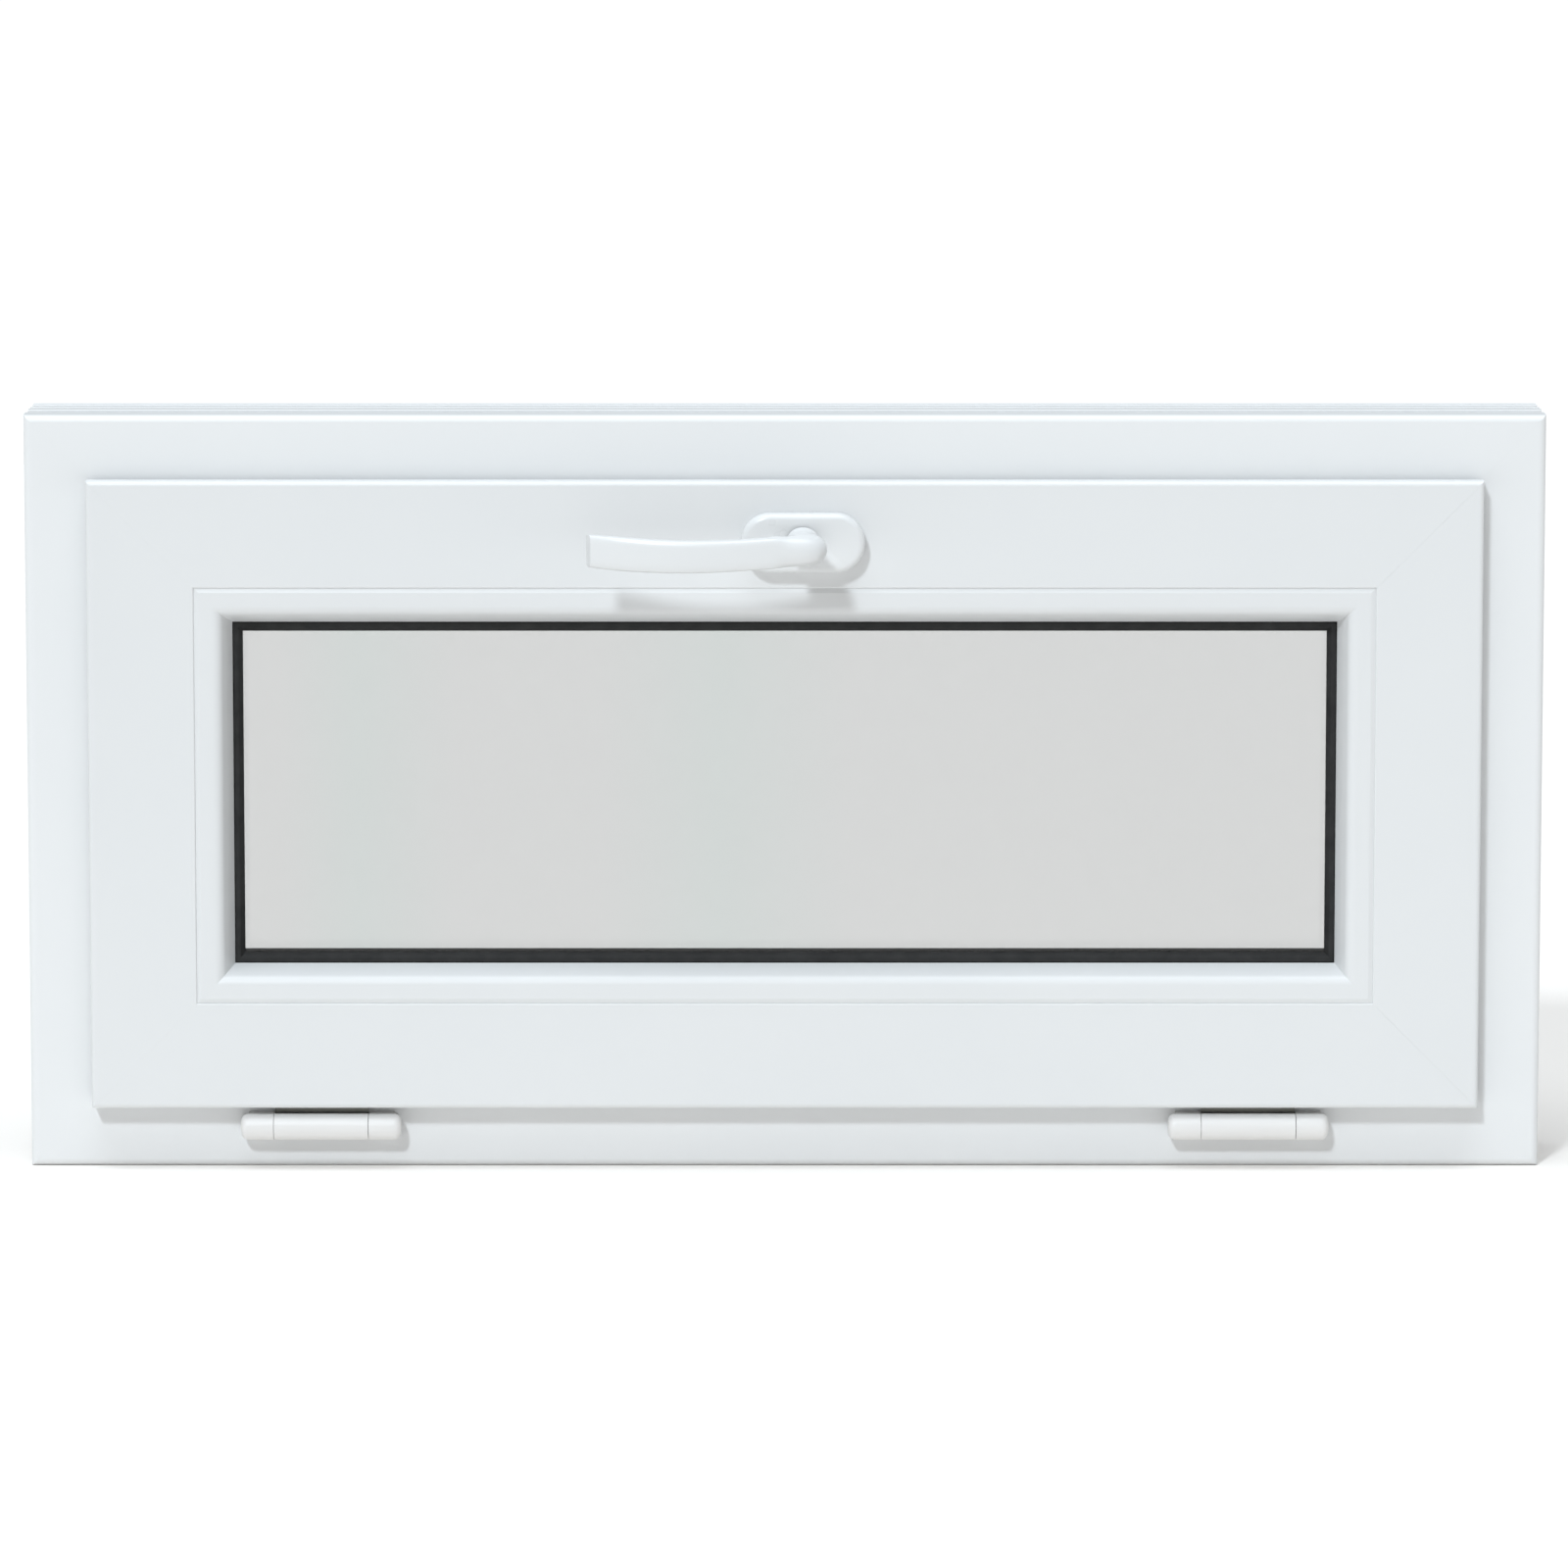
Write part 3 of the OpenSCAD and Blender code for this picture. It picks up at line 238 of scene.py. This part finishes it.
def galvanised(name):
    # zinc crystals of different grey, a few millimetres across
    made, tree, shader, place = newMaterial(name)
    crystals = tree.nodes.new("ShaderNodeTexVoronoi")
    crystals.inputs["Scale"].default_value = zincCoat["crystalScale"]
    tree.links.new(place, crystals.inputs["Vector"])
    cloud = noise(tree, place, zincCoat["cloudScale"], 4)
    colour = ramp(tree, crystals.outputs["Color"], (zincCoat["darkUpTo"], zincCoat["dark"]),
                  (zincCoat["lightFrom"], zincCoat["light"]))
    tree.links.new(colour, shader.inputs["Base Color"])
    sheen = spread(tree, cloud, zincCoat["roughLow"], zincCoat["roughHigh"])
    tree.links.new(sheen, shader.inputs["Roughness"])
    ridges = bump(tree, crystals.outputs["Distance"], zincCoat["edgeStrength"], zincCoat["edgeDepth"])
    tree.links.new(ridges, shader.inputs["Normal"])
    shader.inputs["Metallic"].default_value = zincCoat["metallic"]
    return made


brushing = {"cloudScale": 60, "darkUpTo": 0.3, "lightFrom": 0.75, "strength": 0.12, "depth": 0.00005}


def brushedMetal(name, light, dark, low, high, along=(900, 30, 900)):
    # fine strokes, drawn out along one axis
    made, tree, shader, place = newMaterial(name)
    strokes = noise(tree, stretched(tree, place, along), 1.0, 5, 0.6)
    cloud = noise(tree, place, brushing["cloudScale"], 4)
    colour = ramp(tree, cloud, (brushing["darkUpTo"], dark), (brushing["lightFrom"], light))
    tree.links.new(colour, shader.inputs["Base Color"])
    tree.links.new(spread(tree, strokes, low, high), shader.inputs["Roughness"])
    tree.links.new(bump(tree, strokes, brushing["strength"], brushing["depth"]), shader.inputs["Normal"])
    shader.inputs["Metallic"].default_value = 1.0
    return made


glass = {
    "halfWidth": 0.29, "plain": (0.795, 0.792, 0.789), "green": (0.779, 0.793, 0.785),
    "bands": ((0.04, "plain"), (0.11, "green"), (0.2, "plain"),
              (0.33, "plain"), (0.44, "green"), (0.56, "plain")),
    "smudgeScale": 14, "smudge": 0.012, "ior": 1.45,
}


def clearGlass(name):
    # glass with a painted reflection: a grey-green cast in wide, very soft upright bands
    made, tree, shader, place = newMaterial(name)
    across = tree.nodes.new("ShaderNodeSeparateXYZ")
    tree.links.new(place, across.inputs["Vector"])
    fraction = tree.nodes.new("ShaderNodeMapRange")
    fraction.inputs["From Min"].default_value = -glass["halfWidth"]
    fraction.inputs["From Max"].default_value = glass["halfWidth"]
    tree.links.new(across.outputs["X"], fraction.inputs["Value"])
    # painted reflection: the pane's colour runs through plain and greenish upright bands from left to right
    colour = ramp(tree, fraction.outputs["Result"], *((at, glass[tone]) for at, tone in glass["bands"]))
    tree.links.new(colour, shader.inputs["Base Color"])
    smudge = noise(tree, place, glass["smudgeScale"], 5)
    tree.links.new(spread(tree, smudge, 0.0, glass["smudge"]), shader.inputs["Roughness"])
    shader.inputs["Transmission Weight"].default_value = 1.0
    shader.inputs["IOR"].default_value = glass["ior"]
    return made


# the lighter and the darker colour of each white: the frame is a shade lighter than the sash
frameWhite = (0.786, 0.790, 0.790), (0.772, 0.778, 0.780)
sashWhite = (0.740, 0.744, 0.744), (0.726, 0.732, 0.734)
frameAcross = profilePvc("framePvcAcross", *frameWhite, "X", 0.34)
frameUp = profilePvc("framePvcUpright", *frameWhite, "Z", 0.34)
sashAcross = profilePvc("sashPvcAcross", *sashWhite, "X", 0.36)
sashUp = profilePvc("sashPvcUpright", *sashWhite, "Z", 0.36)
handleWhite = mouldedPlastic("handleEnamel", (0.745, 0.750, 0.750), (0.738, 0.743, 0.744), 0.28, 900, 0.01)
hingeWhite = mouldedPlastic("hingePlastic", (0.775, 0.760, 0.745), (0.765, 0.750, 0.735), 0.33, 1500, 0.03)
drainWhite = mouldedPlastic("drainPlastic", (0.85, 0.855, 0.855), (0.83, 0.835, 0.835), 0.38)
blockBlue = mouldedPlastic("blockPlastic", (0.05, 0.16, 0.42), (0.035, 0.12, 0.34), 0.5)
blackRubber = rubber("blackRubber", (0.034, 0.034, 0.034), (0.024, 0.024, 0.024), 0.5)
greyRubber = rubber("greyRubber", (0.42, 0.43, 0.44), (0.34, 0.35, 0.36), 0.6)
sealantBlack = rubber("edgeSealant", (0.02, 0.02, 0.02), (0.01, 0.01, 0.01), 0.55)
# strokes run along the axis with the small number
strokesUp, strokesAcross = (700, 700, 60), (30, 900, 900)
zincSteel = brushedMetal("zincSteel", (0.66, 0.67, 0.68), (0.54, 0.55, 0.57), 0.24, 0.42)
brightSteel = brushedMetal("brightSteel", (0.70, 0.70, 0.71), (0.60, 0.60, 0.61), 0.16, 0.30)
# painted shade: the hinges' sash leaves are made dark to stand for the shade in the narrow gap above each
# hinge cover
leafSteel = brushedMetal("leafSteel", (0.24, 0.24, 0.22), (0.17, 0.17, 0.155), 0.35, 0.5)
screwSteel = brushedMetal("screwSteel", (0.68, 0.66, 0.60), (0.55, 0.53, 0.48), 0.2, 0.35, strokesUp)
spacerMetal = brushedMetal("spacerAluminium", (0.75, 0.76, 0.77), (0.66, 0.67, 0.68), 0.3, 0.45,
                           strokesAcross)
steelCoat = galvanised("galvanisedSteel")
paneGlass = clearGlass("paneGlass")
bySlot = {"drain_plastic": drainWhite, "galvanised_steel": steelCoat, "black_rubber": blackRubber,
          "grey_rubber": greyRubber, "zinc_steel": zincSteel, "bright_steel": brightSteel,
          "screw_steel": screwSteel, "hinge_plastic": hingeWhite, "handle_enamel": handleWhite,
          "glass": paneGlass, "spacer_aluminium": spacerMetal, "edge_sealant": sealantBlack,
          "block_plastic": blockBlue}
print("materials made")


# every CAD node gets its finish here, and those that nothing replaces keep it

def finishOf(node):
    upright = node.endswith(("left", "right"))
    if slotOf[node] == "frame_pvc":
        return frameUp if upright else frameAcross
    if slotOf[node] in ("sash_pvc", "bead_pvc"):
        return sashUp if upright else sashAcross
    # painted shade: the sash leaf gets the dark steel that stands for the gap's shade
    if node.endswith("sash_leaf"):
        return leafSteel
    return bySlot[slotOf[node]]


for node, part in nodes.items():
    part.data.materials.clear()
    part.data.materials.append(finishOf(node))


# most visible pieces are their CAD solids cleaned up: merged, edges broken, shaded smooth

clean = {
    "mergeWithin": 0.000002, "flatWithin": 0.6, "segments": 2, "angle": 30, "normalWeight": 100,
    "sleeveEnd": 0.0004, "sleeveLeft": -0.00016, "sleeveRight": 0.00010,
}
# how wide each finish's edges are broken; glass isn't, and slots left out keep the CAD mesh
edgeBreaks = {"frame_pvc": 0.00012, "sash_pvc": 0.00012, "bead_pvc": 0.00010, "hinge_plastic": 0.00012,
              "drain_plastic": 0.0004, "zinc_steel": 0.00025, "bright_steel": 0.0002,
              "black_rubber": 0.0001, "grey_rubber": 0.0001, "glass": 0}
handMade = {"handle_lever", "rosette_cover"}


def refined(node, edge):
    piece = bpy.data.objects.new(node + "Refined", nodes[node].data.copy())
    bpy.context.scene.collection.objects.link(piece)
    activate(piece)
    if piece.data.has_custom_normals:
        bpy.ops.mesh.customdata_custom_splitnormals_clear()
    editMesh(piece)
    bpy.ops.mesh.select_all(action="SELECT")
    bpy.ops.mesh.remove_doubles(threshold=clean["mergeWithin"])
    bpy.ops.mesh.dissolve_limited(angle_limit=radians(clean["flatWithin"]))
    deselectAll()
    if edge:
        applyModifier(piece, "BEVEL", width=edge, segments=clean["segments"], limit_method="ANGLE",
                      angle_limit=radians(clean["angle"]), use_clamp_overlap=True)
    if slotOf[node] == "glass":
        # a pane is shaded flat, or it bends what is seen through it
        activate(piece)
        bpy.ops.object.shade_flat()
    else:
        smooth(piece, clean["angle"])
        applyModifier(piece, "WEIGHTED_NORMAL", keep_sharp=True, weight=clean["normalWeight"])
    return piece


def closeSeams(piece):
    # the sleeve runs almost up to the knuckles beside it, closest on the left
    ends = [v.co.x for v in piece.data.vertices]
    for end, shift in ((min(ends), clean["sleeveLeft"]), (max(ends), clean["sleeveRight"])):
        mesh = editMesh(piece)
        pick(piece, mesh, "verts", lambda v: abs(v.co.x - end) < clean["sleeveEnd"])
        bpy.ops.transform.translate(value=(shift, 0, 0))
    deselectAll()


def camelName(node):
    first, *rest = node.split("_")
    return first + "".join(word.title() for word in rest)


for node in sorted(nodes):
    if node in handMade or slotOf[node] not in edgeBreaks:
        continue
    piece = refined(node, edgeBreaks[slotOf[node]])
    if node.endswith("sleeve"):
        closeSeams(piece)
    finishPiece(piece, camelName(node), node, finishOf(node))
print("profiles, glass and fittings refined")


# the lever: a cube extruded through its stations, each ring then turned into place, and subdivided

lever = {
    "axis": (0.0095, -0.050, 0.335),   # where the handle turns, on the sash's face
    "start": 0.0113, "reach": 0.1115, "out": 0.050, "neck": 0.0091,
    "elbowAcross": 0.0090, "barSteps": 10, "sag": 0.0021,
    "barThin": 0.0050, "thinner": 0.0007, "barHigh": 0.0075, "higher": 0.0007, "highestAt": 0.85,
    "bow": 0.0069, "bowSpan": 150, "fallBack": 0.0074,   # the bar bows into the room, then comes back
    "slopeTurn": 57.3,   # degrees that a station turns for a slope of 1
    "pitch": 0.02,   # the stations stand this far apart until they are bent into place
    "grow": 1.075,   # makes up for what subdivision takes off
    "firstHardRing": 7, "cornerHardness": 0.34, "tipHardness": 0.62, "levels": 4, "smoothAngle": 60,
}


def leverStations():
    # each row: out from the sash, across to the left, turn, half thickness, half height, lift
    out, neck, start = lever["out"], lever["neck"], lever["start"]
    rows = [
        (start, 0, 0, neck, neck, 0),
        (start + 0.0012, 0, 0, neck * 0.99, neck * 0.99, 0),
        (start + 0.0050, 0, 0, neck * 0.88, neck * 0.87, 0),
        (out - 0.026, 0, 0, neck * 0.84, neck * 0.84, 0),
        (out - 0.0200, -0.0010, 2, neck * 0.95, neck * 0.86, 0),
        (out - 0.0135, -0.0026, 8, 0.0112, 0.0082, 0),
        (out - 0.0045, -0.0022, 42, 0.0122, 0.0083, 0),
        (out - 0.0006, 0.0098, 85, 0.0058, 0.0080, 0),
    ]
    bow, span, back, bend = lever["bow"], lever["bowSpan"], lever["fallBack"], lever["elbowAcross"]
    length = lever["reach"] - bend
    for step in range(1, lever["barSteps"] + 1):
        part = step / lever["barSteps"]
        away = bow * sin(radians(span * part)) - back * part * part
        slope = bow * radians(span) * cos(radians(span * part)) - 2 * back * part
        high = lever["barHigh"] + lever["higher"] * min(1, part / lever["highestAt"])
        thin = lever["barThin"] - lever["thinner"] * part
        lift = -lever["sag"] * sin(radians(180 * part))
        turn = 90 + lever["slopeTurn"] * slope / length
        rows.append((out + away, bend + length * part, turn, thin, high, lift))
    # two rings close together keep the tip square
    out, across, turn, thin, high, lift = rows.pop()
    rows.append((out + 0.0001, across - 0.0016, turn, thin * 0.95, high * 0.975, lift))
    rows.append((out, across, turn, thin * 0.86, high * 0.945, lift))
    return rows


def buildLever():
    rows = leverStations()
    grow, pitch = lever["grow"], lever["pitch"]
    x0, y0, z0 = lever["axis"]
    bpy.ops.mesh.primitive_cube_add(size=1, location=(x0, y0 - pitch / 2, z0))
    piece = bpy.context.object
    piece.scale = (2 * rows[0][3] * grow, pitch, 2 * rows[0][4] * grow)
    applyPlace(piece)
    mesh = editMesh(piece)
    pick(piece, mesh, "faces", lambda f: f.normal.y < -0.9)   # the face turned to the room
    bpy.ops.transform.resize(value=(rows[1][3] / rows[0][3], 1, rows[1][4] / rows[0][4]))
    for before, row in zip(rows[1:], rows[2:]):
        bpy.ops.mesh.extrude_region_move(TRANSFORM_OT_translate={"value": (0, -pitch, 0)})
        bpy.ops.transform.resize(value=(row[3] / before[3], 1, row[4] / before[4]))
    mesh = bmesh.from_edit_mesh(piece.data)
    rings = [[v.index for v in mesh.verts if abs(v.co.y - (y0 - i * pitch)) < pitch / 4]
             for i in range(len(rows))]
    for i, row in enumerate(rows):
        mesh = bmesh.from_edit_mesh(piece.data)
        mesh.verts.ensure_lookup_table()
        members = set(rings[i])
        pick(piece, mesh, "verts", lambda v: v.index in members)
        bpy.ops.transform.rotate(value=radians(row[2]), orient_axis="Z",
                                 center_override=(x0, y0 - i * pitch, z0))
        bpy.ops.transform.translate(value=(-row[1], i * pitch - row[0], row[5]))
    mesh = bmesh.from_edit_mesh(piece.data)
    mesh.verts.ensure_lookup_table()
    ringOf = {index: i for i, ring in enumerate(rings) for index in ring}

    def hard(edge):
        # the bar's long corners, past the elbow
        ends = sorted(ringOf[v.index] for v in edge.verts)
        return ends[0] >= lever["firstHardRing"] and ends[0] != ends[1]

    pick(piece, mesh, "edges", hard)
    bpy.ops.transform.edge_crease(value=lever["cornerHardness"])
    mesh = bmesh.from_edit_mesh(piece.data)
    lastRing = len(rows) - 1
    pick(piece, mesh, "edges", lambda e: all(ringOf[v.index] == lastRing for v in e.verts))
    bpy.ops.transform.edge_crease(value=lever["tipHardness"])
    bpy.ops.mesh.select_all(action="SELECT")
    bpy.ops.mesh.normals_make_consistent(inside=False)
    deselectAll()
    applyModifier(piece, "SUBSURF", levels=lever["levels"], render_levels=lever["levels"])
    smooth(piece, lever["smoothAngle"])
    return piece


finishPiece(buildLever(), "handleLever", "handle_lever", handleWhite)
print("lever made")


# the rosette: a disc pulled out to a round-ended plate, its front edge rounded, with the lever's hole

rosette = {
    "length": 0.065, "height": 0.031, "thick": 0.011, "x": 0.0095, "z": 0.335,
    "face": -0.050,   # the sash's face, where the plate sits
    "sides": 128, "round": 0.0034, "roundSteps": 8,
    "hole": 0.00845, "holeSides": 96, "holeDepth": 0.04,
    "rim": 0.0004, "rimSteps": 2, "rimAngle": 50, "smoothAngle": 40,
}


def buildRosette():
    half = (rosette["length"] - rosette["height"]) / 2
    x0, face, z0 = rosette["x"], rosette["face"], rosette["z"]
    halfSide = radians(180 / rosette["sides"])   # turns the disc so that no corner lies on its middle line
    thick = rosette["thick"]
    bpy.ops.mesh.primitive_cylinder_add(vertices=rosette["sides"], radius=rosette["height"] / 2, depth=thick,
                                        location=(x0, face - thick / 2, z0),
                                        rotation=(radians(90), halfSide, 0))
    piece = bpy.context.object
    applyPlace(piece)
    for side in (-1, 1):
        mesh = editMesh(piece)
        pick(piece, mesh, "verts", lambda v: side * (v.co.x - x0) > 0)
        bpy.ops.transform.translate(value=(side * half, 0, 0))
    mesh = bmesh.from_edit_mesh(piece.data)
    front = face - thick
    pick(piece, mesh, "edges", lambda e: all(abs(v.co.y - front) < 0.0001 for v in e.verts))
    bpy.ops.mesh.bevel(offset=rosette["round"], segments=rosette["roundSteps"], profile=0.5, affect="EDGES")
    deselectAll()
    bpy.ops.mesh.primitive_cylinder_add(vertices=rosette["holeSides"], radius=rosette["hole"],
                                        depth=rosette["holeDepth"], location=(x0, face, z0),
                                        rotation=(radians(90), 0, 0))
    cutter = bpy.context.object
    applyPlace(cutter)
    applyModifier(piece, "BOOLEAN", operation="DIFFERENCE", solver="EXACT", object=cutter)
    bpy.data.objects.remove(cutter)
    applyModifier(piece, "BEVEL", width=rosette["rim"], segments=rosette["rimSteps"], limit_method="ANGLE",
                  angle_limit=radians(rosette["rimAngle"]))
    smooth(piece, rosette["smoothAngle"])
    return piece


finishPiece(buildRosette(), "rosetteCover", "rosette_cover", handleWhite)
print("rosette made")


# the stage: a pale floor, soft studio light and the camera

stage = {
    "size": 60, "cloudScale": 0.4,
    "light": (0.945, 0.905, 0.868), "lightUpTo": 0.3, "lighter": (0.955, 0.915, 0.878), "lighterFrom": 0.8,
}
light = {
    "sky": 0.28, "sunColour": (0.92, 1.0, 1.06),
    # energy, width in degrees, direction that it comes from
    "key": (1.35, 7, (-0.35, -1.0, 0.80)),
    "top": (2.0, 50, (-0.05, -0.12, 1.0)),
}
view = {"place": (-0.0004, -4.535, 0.8211), "lookDown": 7.8, "lens": 197.54, "sensor": 36,
        "near": 0.1, "far": 200}


def buildStage():
    bpy.ops.mesh.primitive_plane_add(size=stage["size"], location=(0, 0, 0))
    floor = bpy.context.object
    floor.name = "floor"
    made, tree, shader, place = newMaterial("paleFloor")
    cloud = noise(tree, place, stage["cloudScale"], 2)
    colour = ramp(tree, cloud, (stage["lightUpTo"], stage["light"]), (stage["lighterFrom"], stage["lighter"]))
    tree.links.new(colour, shader.inputs["Base Color"])
    shader.inputs["Roughness"].default_value = 1.0
    shader.inputs["Specular IOR Level"].default_value = 0.0
    floor.data.materials.append(made)


def buildSun(name, energy, angle, source):
    sun = bpy.data.lights.new(name, "SUN")
    sun.energy = energy
    sun.angle = radians(angle)
    sun.color = light["sunColour"]
    lamp = bpy.data.objects.new(name, sun)
    bpy.context.scene.collection.objects.link(lamp)
    lamp.rotation_mode = "QUATERNION"
    lamp.rotation_quaternion = Vector(source).to_track_quat("Z", "Y")


def buildLight():
    # an even white room, a key from the front left and a wide soft light overhead
    world = bpy.data.worlds.new("studio")
    bpy.context.scene.world = world
    world.use_nodes = True
    sky = world.node_tree.nodes["Background"]
    sky.inputs["Color"].default_value = (1, 1, 1, 1)
    sky.inputs["Strength"].default_value = light["sky"]
    buildSun("keyLight", *light["key"])
    buildSun("topLight", *light["top"])


def buildCamera():
    camera = bpy.data.objects.new("camera", bpy.data.cameras.new("camera"))
    bpy.context.scene.collection.objects.link(camera)
    camera.data.sensor_width = view["sensor"]
    camera.data.lens = view["lens"]
    camera.data.clip_start, camera.data.clip_end = view["near"], view["far"]
    camera.location = view["place"]
    camera.rotation_euler = (radians(90 - view["lookDown"]), 0, 0)
    bpy.context.scene.camera = camera


buildStage()
buildLight()
buildCamera()
bpy.context.scene.view_settings.view_transform = "Standard"
print("stage, light and camera made")
